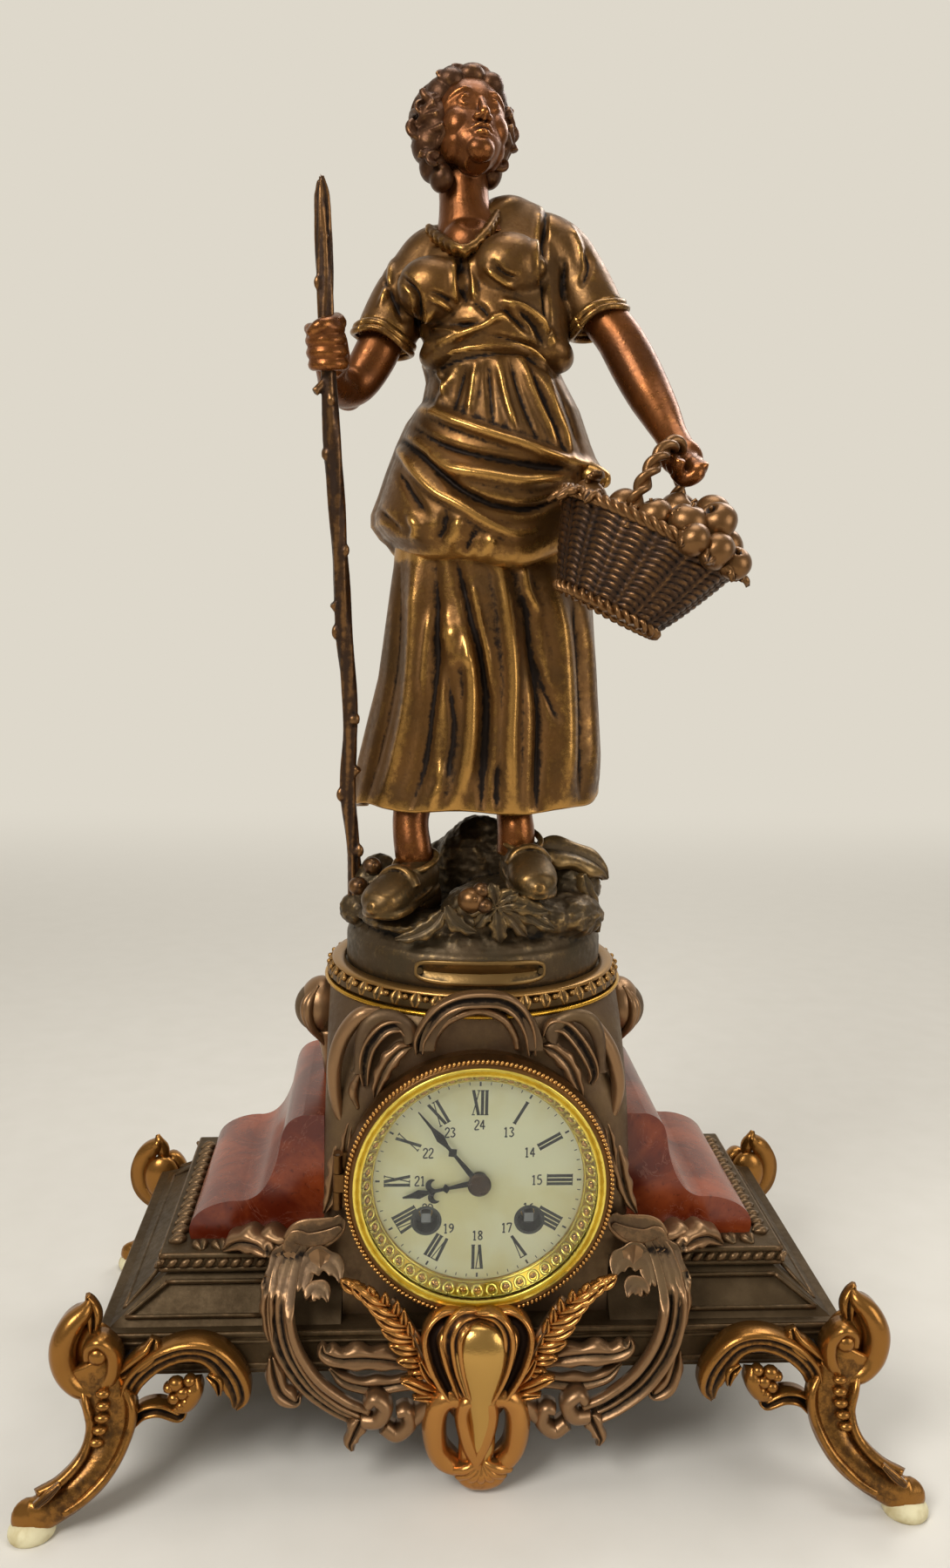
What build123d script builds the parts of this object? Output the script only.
from build123d import *
import os
from math import atan2, cos, degrees, pi, sin

# Figural mantel clock. Millimetres, X to the right, the dial looks along -Y, Z up.
# The origin is on the floor, in the middle of the four feet.
os.makedirs("parts", exist_ok=True)

# Fits and shared working sizes
clearance = 0.3
running_fit = 0.05
overrun = 20.0
cast_wall = 5.0
sheet = 1.2
arbor_radius = 1.2
pivot_radius = 0.9
screw_radius = 2.0

# Plinth: slab, sloped step and the seat of the marbles
plinth_underside = 52.0
slab_height = 19.0
slab_half_width = 159.5
slab_half_depth = 78.0
slope_height = 17.0
slope_inset = 4.0
step_height = 9.0
step_half_width = 136.0
step_half_depth = 60.0
slab_top = plinth_underside + slab_height
step_foot = slab_top + slope_height
step_top = step_foot + step_height

# Feet
toe_reach_x = 190.0
toe_reach_y = 113.0
pad_height = 4.0
toe_radius = 7.0
leg_thickness = 14.0
leg_height = 93.0

# Drum case
dial_height = 134.0
drum_front = -66.0
drum_back = 60.0
drum_half_width = 66.0
drum_top = 205.0
drum_straight_top = 150.0
drum_shoulder = 185.0
drum_corner = 10.0
drum_shoulder_corner = 34.0
base_block_half_width = 57.7
drum_opening_radius = 49.5
ear_radius = 12.5
ear_height_share = 0.732
ear_depth = 6.0

# Marble side pieces
marble_half_depth = 48.0
marble_reach = 125.0
marble_height = 57.0

# Collar, terrace and plaque
collar_radius = 67.6
collar_bore = 50.0
collar_height = 7.0
terrace_radius = 59.0
terrace_band = 18.0
terrace_crown = 29.0
plaque_thickness = 1.2
plaque_height = 11.0
plaque_half_angle = 29.0
plaque_lift = 4.0
terrace_foot = drum_top + collar_height
ear_height = dial_height + ear_height_share * (drum_top - dial_height)

# Bezel, dial and hands
seat_radius = 56.5
seat_bore = 41.0
seat_thickness = 3.0
movement_gap = 4.0
dial_radius = 45.5
dial_thickness = 1.2
winding_hole_radius = 5.5
dial_centre_hole = 4.0
bezel_radius = 57.3
bezel_bore = 51.2
bezel_depth = 10.7
glass_thickness = 1.4
glass_rise = 2.2
knuckle_radius = 2.0
knuckle_offset = 59.8
bezel_knuckle_half = 3.9
seat_knuckle_reach = 12.0
dial_back = drum_front - seat_thickness
dial_front = dial_back - dial_thickness
bezel_back = dial_back - clearance
bezel_front = bezel_back - bezel_depth

# Movement
plate_radius = 43.0
plate_thickness = 2.0
plate_gap = 26.0
pillar_radius = 2.6
pillar_circle = 38.5
winding_reach_x = 22.1
winding_drop = 18.0
barrel_radius = 17.5
barrel_depth = 14.0
great_wheel_teeth = 84
great_wheel_radius = 19.4
square_side = 4.0
square_length = 8.0
front_plate_front = drum_front + movement_gap
front_plate_back = front_plate_front + plate_thickness
back_plate_front = front_plate_back + plate_gap
back_plate_back = back_plate_front + plate_thickness
winding_height = dial_height - winding_drop

# Pendulum, bell and rear door
anchor_height = 172.0
pendulum_depth = -22.0
rod_radius = 1.2
bob_radius = 12.0
bob_thickness = 8.0
bob_height = 78.0
bell_radius = 32.0
bell_depth = 15.0
bell_height = 128.0
bell_mouth = 0.0
hammer_pivot_x = -30.0
hammer_pivot_height = 152.0
door_radius = 50.0
door_thickness = 1.6
rear_ring_thickness = 2.0
rear_ring_bore = 44.0
rear_ring_radius = 54.0

# Figure
hem_height = 286.0
apron_hem_share = 0.5729
waist_height = 478.0
bodice_top = 545.0
figure_top = 605.0
figure_wall = 3.5
apron_hem_height = hem_height + apron_hem_share * (waist_height - hem_height)


def facing(depth):
    """Sketch plane at this depth, seen from the front: X to the right and Z up."""
    return Plane.XZ.offset(-depth)


def save(piece, name):
    """Name one finished piece and write it."""
    piece.part.label = name
    export_step(piece.part, f"parts/{name}.step")


def disc(x, z, radius, back, thickness, mode=Mode.ADD):
    """Round plate that faces the front, from back forward by its thickness."""
    with BuildSketch(facing(back)) as outline:
        with Locations((x, z)):
            Circle(radius)
    extrude(outline.sketch, amount=thickness, mode=mode)


def round_run(stations, side=Vector(1, 0, 0), ruled=False):
    """Loft circles through stations of point and radius, each square to the run there."""
    points = [Vector(*place) for place, radius in stations]
    rings = []
    for index, (place, radius) in enumerate(stations):
        before = points[max(index - 1, 0)]
        after = points[min(index + 1, len(points) - 1)]
        run = (after - before).normalized()
        across = side - run * side.dot(run)
        with BuildSketch(Plane(origin=points[index], x_dir=across, z_dir=run)) as ring:
            Circle(radius)
        rings.append(ring.sketch)
    loft(rings, ruled=ruled)


def oval_stack(stations, mode=Mode.ADD):
    """Loft level ovals: centre x, centre y, half width, half depth and height."""
    ovals = []
    for x, y, half_width, half_depth, height in stations:
        with BuildSketch(Plane.XY.offset(height)) as oval:
            with Locations((x, y)):
                Ellipse(half_width, half_depth)
        ovals.append(oval.sketch)
    loft(ovals, mode=mode)


# Slim teeth with backlash, as shares of the module and of the tooth pitch
tooth_root_share = 1.15
tooth_tip_share = 0.75
tooth_foot_share = 0.21
tooth_crest_share = 0.09


def toothed_wheel(x, z, teeth, pitch_radius, back, thickness, phase_share=0.0):
    """Toothed wheel that faces the front; its phase is a share of one tooth."""
    module = 2 * pitch_radius / teeth
    root_radius = pitch_radius - tooth_root_share * module
    tip_radius = pitch_radius + tooth_tip_share * module
    corners = []
    for tooth in range(teeth):
        for turn_share, radius in (
            (-tooth_foot_share, root_radius),
            (-tooth_crest_share, tip_radius),
            (tooth_crest_share, tip_radius),
            (tooth_foot_share, root_radius),
        ):
            angle = 2 * pi * (tooth + phase_share + turn_share) / teeth
            corners.append((radius * cos(angle), radius * sin(angle)))
    with BuildSketch(Plane(origin=(x, back, z), x_dir=(1, 0, 0), z_dir=(0, -1, 0))) as outline:
        with BuildLine():
            Polyline(*corners, close=True)
        make_face()
    extrude(outline.sketch, amount=thickness)


# Plinth: hollow casting, open underneath, with a notch for the drum case
drum_floor = slab_top - cast_wall
tower_inner_x = base_block_half_width + cast_wall
tower_outer_x = step_half_width - slope_inset - cast_wall
tower_half_depth = step_half_depth - slope_inset - cast_wall
bob_way_half_width = 30.0
bob_way_front = -42.0
bob_way_back = 0.0
case_bolt_x = base_block_half_width - cast_wall / 2 - clearance
case_bolt_y = drum_back - cast_wall
marble_bolt_x = (drum_half_width + marble_reach) / 2 - cast_wall
marble_bolt_y = marble_half_depth / 2
leg_screw_x = slab_half_width - leg_thickness
leg_screw_height = plinth_underside + slab_height / 2
apron_screw_x = slab_height / 2

with BuildPart() as plinth:
    with BuildSketch(Plane.XY.offset(plinth_underside)):
        Rectangle(2 * slab_half_width, 2 * slab_half_depth)
    extrude(amount=slab_height)
    with BuildSketch(Plane.XY.offset(slab_top)):
        Rectangle(2 * (slab_half_width - slope_inset), 2 * (slab_half_depth - slope_inset))
    with BuildSketch(Plane.XY.offset(step_foot)):
        Rectangle(2 * (step_half_width - slope_inset), 2 * (step_half_depth - slope_inset))
    loft(ruled=True)
    with BuildSketch(Plane.XY.offset(step_foot)):
        Rectangle(2 * step_half_width, 2 * step_half_depth)
    extrude(amount=step_height)
    with BuildSketch(Plane.XY.offset(slab_top)):
        Rectangle(2 * (base_block_half_width + clearance), 2 * (slab_half_depth + overrun))
    extrude(amount=slope_height + step_height + overrun, mode=Mode.SUBTRACT)
    with BuildSketch(Plane.XY.offset(plinth_underside - overrun)):
        Rectangle(2 * (slab_half_width - cast_wall), 2 * (slab_half_depth - cast_wall))
    extrude(amount=slab_height - cast_wall + overrun, mode=Mode.SUBTRACT)
    tower_width = tower_outer_x - tower_inner_x
    with BuildSketch(Plane.XY.offset(drum_floor - overrun)):
        with Locations((tower_inner_x + tower_width / 2, 0), (-tower_inner_x - tower_width / 2, 0)):
            Rectangle(tower_width, 2 * tower_half_depth)
    extrude(amount=step_top - cast_wall - drum_floor + overrun, mode=Mode.SUBTRACT)
    with BuildSketch(Plane.XY.offset(plinth_underside)):
        with Locations((0, (bob_way_front + bob_way_back) / 2)):
            Rectangle(2 * bob_way_half_width, bob_way_back - bob_way_front)
    extrude(amount=slab_height + overrun, mode=Mode.SUBTRACT)
    with BuildSketch(Plane.XY.offset(plinth_underside)):
        with GridLocations(2 * case_bolt_x, 2 * case_bolt_y, 2, 2):
            Circle(screw_radius + running_fit)
        with GridLocations(2 * marble_bolt_x, 2 * marble_bolt_y, 2, 2):
            Circle(screw_radius + running_fit)
    extrude(amount=slab_height + slope_height + step_height + overrun, mode=Mode.SUBTRACT)
    with BuildSketch(facing(slab_half_depth + overrun)):
        with GridLocations(2 * leg_screw_x, 0, 2, 1):
            with Locations((0, leg_screw_height)):
                Circle(screw_radius + running_fit)
    extrude(amount=2 * (slab_half_depth + overrun), mode=Mode.SUBTRACT)
    with BuildSketch(facing(-slab_half_depth + cast_wall + overrun)):
        with Locations((apron_screw_x, leg_screw_height), (-apron_screw_x, leg_screw_height)):
            Circle(screw_radius + running_fit)
    extrude(amount=cast_wall + 2 * overrun, mode=Mode.SUBTRACT)
save(plinth, "plinth")

# Marble side pieces: a scooped profile, as shares of reach beyond the drum and of height
marble_inner_x = drum_half_width + 2 * clearance
marble_shoulder_share = (0.16, 1.0)
marble_scoop_shares = [(0.30, 0.89), (0.34, 0.71), (0.40, 0.51), (0.50, 0.36), (0.63, 0.31)]
marble_nose_shares = [(0.63, 0.31), (0.88, 0.255), (0.985, 0.165), (1.0, 0.0)]


def marble_point(side, share):
    """Point of the marble's front outline, from a share of its reach and height."""
    reach = marble_inner_x + share[0] * (marble_reach - marble_inner_x)
    return (side * reach, step_top + share[1] * marble_height)


for side, name in ((-1, "marble_left"), (1, "marble_right")):
    with BuildPart() as marble:
        with BuildSketch(facing(marble_half_depth)):
            with BuildLine():
                shoulder = marble_point(side, marble_shoulder_share)
                scoop = [marble_point(side, share) for share in marble_scoop_shares]
                nose = [marble_point(side, share) for share in marble_nose_shares]
                Spline(shoulder, *scoop)
                Spline(*nose)
                Polyline(nose[-1], (side * marble_inner_x, step_top),
                         (side * marble_inner_x, step_top + marble_height), shoulder)
            make_face()
        extrude(amount=2 * marble_half_depth)
        with BuildSketch(Plane.XY.offset(step_top)):
            with Locations((side * marble_bolt_x, marble_bolt_y), (side * marble_bolt_x, -marble_bolt_y)):
                Circle(screw_radius + running_fit)
        extrude(amount=step_height, mode=Mode.SUBTRACT)
    save(marble, name)

# Bolts that hold the marbles down, each with its nut under the step
nut_radius = 4.5
nut_height = 3.0
bolt_tail = 2.0
step_underside = step_top - cast_wall
# Drum case: cast shell with ears and scrolls, open at the front, back and bottom
drum_depth = drum_back - drum_front
drum_centre_y = (drum_back + drum_front) / 2
drum_cap_corner = drum_depth / 2 - 1.5 * clearance
crest_half_width = 26.0
crest_band = 6.0
crest_foot = dial_height + bezel_radius + clearance
crest_top = 217.0
relief = 5.0
scroll_shares = [(0.0, 0.0), (-0.18, 0.42), (-0.55, 0.5), (-0.9, 0.1), (-1.0, -0.6)]
scroll_start_x = 30.0
scroll_start_share = 0.19
scroll_start_height = crest_foot + scroll_start_share * (drum_top - crest_foot)
scroll_size = 22.0
scroll_radius = 3.0
flank_line_shares = [(0.82, 0.93), (0.93, 0.75), (0.97, 0.55), (0.985, 0.3), (0.985, 0.12)]


def drum_shell(inset, foot, top, mode=Mode.ADD):
    """Loft the drum's plan sections, drawn in from the outer skin by the inset."""
    plans = []
    for height, corner in (
        (foot, drum_corner),
        (drum_straight_top, drum_corner),
        (drum_shoulder - inset, drum_shoulder_corner),
        (top, drum_cap_corner),
    ):
        with BuildSketch(Plane.XY.offset(height)) as plan:
            with Locations((0, drum_centre_y)):
                RectangleRounded(2 * (drum_half_width - inset), drum_depth - 2 * inset,
                                 corner - inset)
        plans.append(plan.sketch)
    loft(plans, mode=mode)


with BuildPart() as drum_case:
    drum_shell(0, step_top, drum_top)
    with BuildSketch(Plane.XY.offset(slab_top)):
        with Locations((0, drum_centre_y)):
            Rectangle(2 * base_block_half_width, drum_depth)
    extrude(amount=step_top - slab_top)
    with Locations((-drum_half_width - cast_wall, ear_depth, ear_height),
                   (drum_half_width + cast_wall, ear_depth, ear_height)):
        Sphere(ear_radius)
    drum_shell(cast_wall, step_top, drum_top - cast_wall, Mode.SUBTRACT)
    with BuildSketch(Plane.XY.offset(slab_top - overrun)):
        with Locations((0, drum_centre_y)):
            Rectangle(2 * (base_block_half_width - 2 * cast_wall), drum_depth - 4 * cast_wall)
    extrude(amount=step_top - slab_top + overrun + cast_wall, mode=Mode.SUBTRACT)
    disc(0, dial_height, drum_opening_radius, drum_back + overrun, drum_depth + 2 * overrun, Mode.SUBTRACT)
    with BuildSketch(facing(drum_front + cast_wall / 2)):
        with BuildLine():
            ThreePointArc((-crest_half_width, crest_foot), (0, crest_top), (crest_half_width, crest_foot))
            Line((crest_half_width, crest_foot), (crest_half_width - crest_band, crest_foot))
            ThreePointArc((crest_half_width - crest_band, crest_foot), (0, crest_top - crest_band),
                          (crest_band - crest_half_width, crest_foot))
            Line((crest_band - crest_half_width, crest_foot), (-crest_half_width, crest_foot))
        make_face()
    extrude(amount=relief + cast_wall / 2)
    for side in (-1, 1):
        curl = [(side * (scroll_start_x - along * scroll_size), scroll_start_height + rise * scroll_size)
                for along, rise in scroll_shares]
        round_run([((x, drum_front, z), scroll_radius) for x, z in curl], Vector(0, 1, 0))
    with BuildSketch(Plane.XY.offset(drum_top)):
        with Locations((0, overrun / 2 - collar_radius - clearance)):
            Rectangle(2 * crest_half_width, overrun)
    extrude(amount=overrun, mode=Mode.SUBTRACT)
    with BuildSketch(Plane.XY.offset(slab_top)):
        with GridLocations(2 * case_bolt_x, 2 * case_bolt_y, 2, 2):
            Circle(screw_radius + running_fit)
    extrude(amount=cast_wall, mode=Mode.SUBTRACT)
    with BuildSketch(Plane.XY.offset(drum_top - cast_wall - overrun)):
        Circle(screw_radius + running_fit)
    extrude(amount=cast_wall + 2 * overrun, mode=Mode.SUBTRACT)
save(drum_case, "drum_case")

# Feet: a scrolled bracket in front of the slab, a sabre leg and a toe on a pad.
# Outline points are shares of the half width of the slab and of the leg's height.
leg_crest_shares = [(0.978, 1.0), (1.025, 0.93), (1.072, 0.80), (1.078, 0.66), (1.035, 0.56), (1.020, 0.37)]
leg_stem_shares = [(0.905, 0.37), (0.886, 0.50), (0.820, 0.60), (0.705, 0.60), (0.672, 0.52)]
leg_leaf_shares = [(0.672, 0.52), (0.636, 0.45), (0.610, 0.54), (0.665, 0.71), (0.752, 0.785), (0.820, 0.775)]
leg_neck_shares = [(0.820, 0.775), (0.866, 0.84), (0.914, 0.82), (0.945, 0.88), (0.978, 1.0)]
# Sabre stations: share of the reach from leg top to toe, height share, radius share
sabre_shares = [(0.0, 0.45, 1.15), (0.06, 0.33, 1.08), (0.27, 0.21, 1.02), (0.58, 0.135, 0.95),
                (0.84, 0.098, 0.80), (0.97, 0.075, 0.42)]
sabre_top_x = 154.0
leg_middle_y = slab_half_depth + leg_thickness / 2
pad_x = toe_reach_x - toe_radius - clearance
pad_y = toe_reach_y - toe_radius

with BuildPart() as leg_front_left:
    with BuildSketch(facing(-slab_half_depth)):
        with BuildLine():
            for group in (leg_crest_shares, leg_stem_shares, leg_leaf_shares, leg_neck_shares):
                Spline(*[(-across * slab_half_width, rise * leg_height) for across, rise in group])
            Line((-leg_crest_shares[-1][0] * slab_half_width, leg_crest_shares[-1][1] * leg_height),
                 (-leg_stem_shares[0][0] * slab_half_width, leg_stem_shares[0][1] * leg_height))
        make_face()
    extrude(amount=leg_thickness)
    round_run([((-sabre_top_x - out * (toe_reach_x - sabre_top_x), -leg_middle_y - out * (toe_reach_y - leg_middle_y),
                 rise * leg_height), size * toe_radius) for out, rise, size in sabre_shares], Vector(1, -1, 0))
    with BuildSketch(Plane.XY.offset(pad_height)):
        with Locations((-toe_reach_x, -toe_reach_y)):
            Rectangle(leg_height, leg_height)
    extrude(amount=-overrun, mode=Mode.SUBTRACT)
    with BuildSketch(facing(-slab_half_depth)):
        with Locations((-leg_screw_x, leg_screw_height)):
            Circle(screw_radius + running_fit)
    extrude(amount=leg_thickness / 2, mode=Mode.SUBTRACT)
save(leg_front_left, "leg_front_left")

with BuildPart() as leg_front_right:
    mirror(leg_front_left.part, about=Plane.YZ)
save(leg_front_right, "leg_front_right")

with BuildPart() as leg_rear_left:
    mirror(leg_front_left.part, about=Plane.XZ)
save(leg_rear_left, "leg_rear_left")

with BuildPart() as leg_rear_right:
    mirror(leg_front_right.part, about=Plane.XZ)
save(leg_rear_right, "leg_rear_right")

with BuildPart() as foot_pads:
    with BuildSketch():
        with GridLocations(2 * pad_x, 2 * pad_y, 2, 2):
            Circle(toe_radius)
    extrude(amount=pad_height)
save(foot_pads, "foot_pads")

screw_head_radius = 3.6
screw_head_height = 2.4
wall_screw_length = cast_wall + leg_thickness / 2 - clearance
with BuildPart() as wall_screws:
    for side_x, side_y in ((-1, -1), (1, -1), (-1, 1), (1, 1)):
        plane = Plane(origin=(side_x * leg_screw_x, side_y * (slab_half_depth - cast_wall), leg_screw_height),
                      z_dir=(0, side_y, 0))
        with BuildSketch(plane):
            Circle(screw_radius)
        extrude(amount=wall_screw_length)
        with BuildSketch(plane):
            Circle(screw_head_radius)
        extrude(amount=-screw_head_height)
    for side_x in (-1, 1):
        plane = Plane(origin=(side_x * apron_screw_x, cast_wall - slab_half_depth, leg_screw_height), z_dir=(0, -1, 0))
        with BuildSketch(plane):
            Circle(screw_radius)
        extrude(amount=wall_screw_length)
        with BuildSketch(plane):
            Circle(screw_head_radius)
        extrude(amount=-screw_head_height)
save(wall_screws, "wall_screws")

# Front apron: two C scrolls, leaf sprays and the hanging petal, in one pierced casting.
# Every outline is in shares of the apron's half width and of its height.
apron_half_width = 87.0
apron_height = 118.0
bezel_swing_reach = 73.5
bezel_swing_foot = 100.0
flare_inner_depth = 7.0
apron_bottom = 7.0
scroll_thickness = 9.0
spray_thickness = 2.5
pendant_thickness = 15.0
petal_rise = 8.0
c_scroll_outer_shares = [(0.86, 0.86), (1.0, 0.72), (0.99, 0.56), (0.93, 0.42), (0.78, 0.31), (0.60, 0.245)]
c_scroll_inner_shares = [(0.55, 0.30), (0.71, 0.365), (0.84, 0.47), (0.90, 0.58), (0.905, 0.70), (0.81, 0.83)]
crook_outer_shares = [(0.81, 0.83), (0.90, 0.94), (0.93, 0.90), (0.955, 0.84), (0.98, 0.80)]
hook_shares = [(0.60, 0.245), (0.62, 0.16), (0.58, 0.20), (0.47, 0.235), (0.40, 0.30), (0.30, 0.285), (0.24, 0.26)]
hook_return_shares = [(0.24, 0.34), (0.34, 0.36), (0.44, 0.37), (0.50, 0.33), (0.55, 0.30)]
flare_shares = [(0.70, 0.92), (0.745, 0.95), (0.81, 0.91), (0.90, 0.94), (0.86, 0.84), (0.77, 0.82), (0.705, 0.86)]
spray_shares = [(0.19, 0.45), (0.31, 0.565), (0.43, 0.655), (0.55, 0.70), (0.62, 0.665), (0.50, 0.565), (0.37, 0.47),
                (0.22, 0.38)]
leaf_shares = [(0.19, 0.40), (0.40, 0.43), (0.60, 0.47), (0.78, 0.55), (0.95, 0.53), (0.80, 0.46), (0.62, 0.40),
               (0.40, 0.36), (0.19, 0.32)]
pendant_side_shares = [(0.11, 0.57), (0.20, 0.54), (0.225, 0.46), (0.20, 0.38), (0.26, 0.33), (0.25, 0.24),
                       (0.19, 0.155), (0.13, 0.12), (0.12, 0.055), (0.07, 0.012), (0.0, 0.0)]
pendant_top_share = 0.575
pendant_eye_share = (0.105, 0.225)
eye_width_share = 0.030
eye_height_share = 0.048
petal_share = 0.40
petal_width_share = 0.112
petal_height_share = 0.17


def apron_point(side, share):
    """Point of the apron's front view, from shares of its half width and height."""
    return (side * share[0] * apron_half_width, apron_bottom + share[1] * apron_height)


with BuildPart() as front_apron:
    for side in (-1, 1):
        for group, back, thickness in (
            ((c_scroll_outer_shares, hook_shares, hook_return_shares, c_scroll_inner_shares, crook_outer_shares),
             -slab_half_depth, scroll_thickness),
        ):
            with BuildSketch(facing(back)):
                with BuildLine():
                    for run in group[:-1]:
                        Spline(*[apron_point(side, share) for share in run])
                    Line(apron_point(side, hook_shares[-1]), apron_point(side, hook_return_shares[0]))
                    Line(apron_point(side, c_scroll_inner_shares[-1]), apron_point(side, c_scroll_outer_shares[0]))
                make_face()
            extrude(amount=thickness)
        for outline, back, thickness in (
            (flare_shares, drum_front, slab_half_depth + drum_front + scroll_thickness / 2),
            (spray_shares, -slab_half_depth, spray_thickness),
            (leaf_shares, -slab_half_depth, scroll_thickness / 2),
        ):
            with BuildSketch(facing(back)):
                with BuildLine():
                    Spline(*[apron_point(side, share) for share in outline], periodic=True)
                make_face()
            extrude(amount=thickness)
    with BuildSketch(facing(-slab_half_depth)):
        with BuildLine():
            Line(apron_point(-1, pendant_side_shares[0]), apron_point(1, pendant_side_shares[0]))
            Spline(*[apron_point(1, share) for share in pendant_side_shares])
            Spline(*[apron_point(-1, share) for share in pendant_side_shares])
        make_face()
    extrude(amount=pendant_thickness)
    for width_share, depth_share in ((1.0, 0.0),):
        petals = []
        for reach_share, size_share in ((0.0, 1.0), (0.6, 0.86), (1.0, 0.45)):
            with BuildSketch(facing(-slab_half_depth - pendant_thickness - reach_share * petal_rise)) as petal:
                with Locations(apron_point(1, (0, petal_share))):
                    Ellipse(size_share * petal_width_share * apron_half_width,
                            size_share * petal_height_share * apron_height)
            petals.append(petal.sketch)
        loft(petals)
    with BuildSketch(facing(overrun - slab_half_depth)):
        for side in (-1, 1):
            with Locations(apron_point(side, pendant_eye_share)):
                Ellipse(eye_width_share * apron_half_width, eye_height_share * apron_height)
    extrude(amount=pendant_thickness + petal_rise + 2 * overrun, mode=Mode.SUBTRACT)
    with BuildSketch(facing(-slab_half_depth)):
        with Locations((apron_screw_x, leg_screw_height), (-apron_screw_x, leg_screw_height)):
            Circle(screw_radius + running_fit)
    extrude(amount=leg_thickness / 2, mode=Mode.SUBTRACT)
    # The flares step back where the opened bezel passes them
    with BuildSketch(facing(drum_front - flare_inner_depth)):
        with Locations((0, (bezel_swing_foot + apron_bottom + apron_height) / 2)):
            Rectangle(2 * bezel_swing_reach, apron_bottom + apron_height - bezel_swing_foot)
    extrude(amount=slab_half_depth, mode=Mode.SUBTRACT)
save(front_apron, "front_apron")

# Collar under the terrace
collar_lip = 2.5
with BuildPart() as collar_ring:
    with BuildSketch(Plane.XZ):
        with BuildLine():
            Polyline((collar_bore, drum_top), (drum_half_width - clearance, drum_top),
                     (collar_radius, drum_top + collar_lip), (collar_radius, drum_top + 2 * collar_lip),
                     (terrace_radius + collar_lip, terrace_foot), (collar_bore, terrace_foot), close=True)
        make_face()
    revolve(axis=Axis.Z)
save(collar_ring, "collar_ring")

# Terrace: round rocky base with a raised mound, a peak behind the feet and a curling leaf
terrace_flat = 46.0
mound_x = 22.0
mound_y = -12.0
mound_half_width = 34.0
mound_half_depth = 34.0
left_sole = terrace_foot + terrace_crown
right_sole = left_sole + 11.0
peak_x = 4.0
peak_y = 20.0
peak_half_width = 22.0
peak_half_depth = 15.0
peak_height = 27.0
leaf_root = (36.0, -6.0, 252.0)
leaf_back = (50.0, -6.0, 262.0)
leaf_tip = (66.0, -8.0, 256.0)
leaf_radius = 7.0
socket_radius = 7.0
staff_foot_x = -54.6
staff_foot_y = -12.0
staff_foot = 243.0
bolt_x = 36.0
terrace_bolt_top = terrace_foot + terrace_band / 2
foot_bolt_reach = 10.0
left_bolt = (-34.0, -30.0)
right_bolt = (18.0, -30.0)
with BuildPart() as terrace:
    with BuildSketch(Plane.XZ):
        with BuildLine():
            Polyline((terrace_flat, left_sole), (0, left_sole), (0, terrace_foot),
                     (terrace_radius, terrace_foot), (terrace_radius, terrace_foot + terrace_band))
            Spline((terrace_radius, terrace_foot + terrace_band),
                   (terrace_radius - (terrace_radius - terrace_flat) / 4, (terrace_foot + terrace_band + left_sole) / 2),
                   (terrace_flat, left_sole))
        make_face()
    revolve(axis=Axis.Z)
    oval_stack([(mound_x - share * mound_x / 4, mound_y, mound_half_width * (1 - share / 5),
                 mound_half_depth * (1 - share / 5), left_sole - overrun / 2 + share * (right_sole - left_sole + overrun / 2))
                for share in (0, 0.6, 1)])
    oval_stack([(peak_x, peak_y, peak_half_width * (1 - share * 0.8), peak_half_depth * (1 - share * 0.8),
                 right_sole - overrun + share * (peak_height + overrun)) for share in (0, 0.55, 1)])
    round_run([(leaf_root, leaf_radius), (leaf_back, leaf_radius * 0.8), (leaf_tip, leaf_radius * 0.3)], Vector(0, 1, 0))
    with BuildSketch(Plane.XY.offset(terrace_foot + terrace_band)):
        with Locations((staff_foot_x, staff_foot_y)):
            Circle(socket_radius / 2)
    extrude(amount=staff_foot - terrace_foot - terrace_band)
    with BuildSketch(Plane.XY.offset(terrace_foot)):
        Circle(screw_radius + running_fit)
    extrude(amount=terrace_band / 2 + clearance, mode=Mode.SUBTRACT)
    with BuildSketch(Plane.XY.offset(terrace_foot)):
        with Locations(left_bolt, right_bolt):
            Circle(screw_radius + running_fit)
    extrude(amount=terrace_crown + peak_height, mode=Mode.SUBTRACT)
save(terrace, "terrace")

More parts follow.
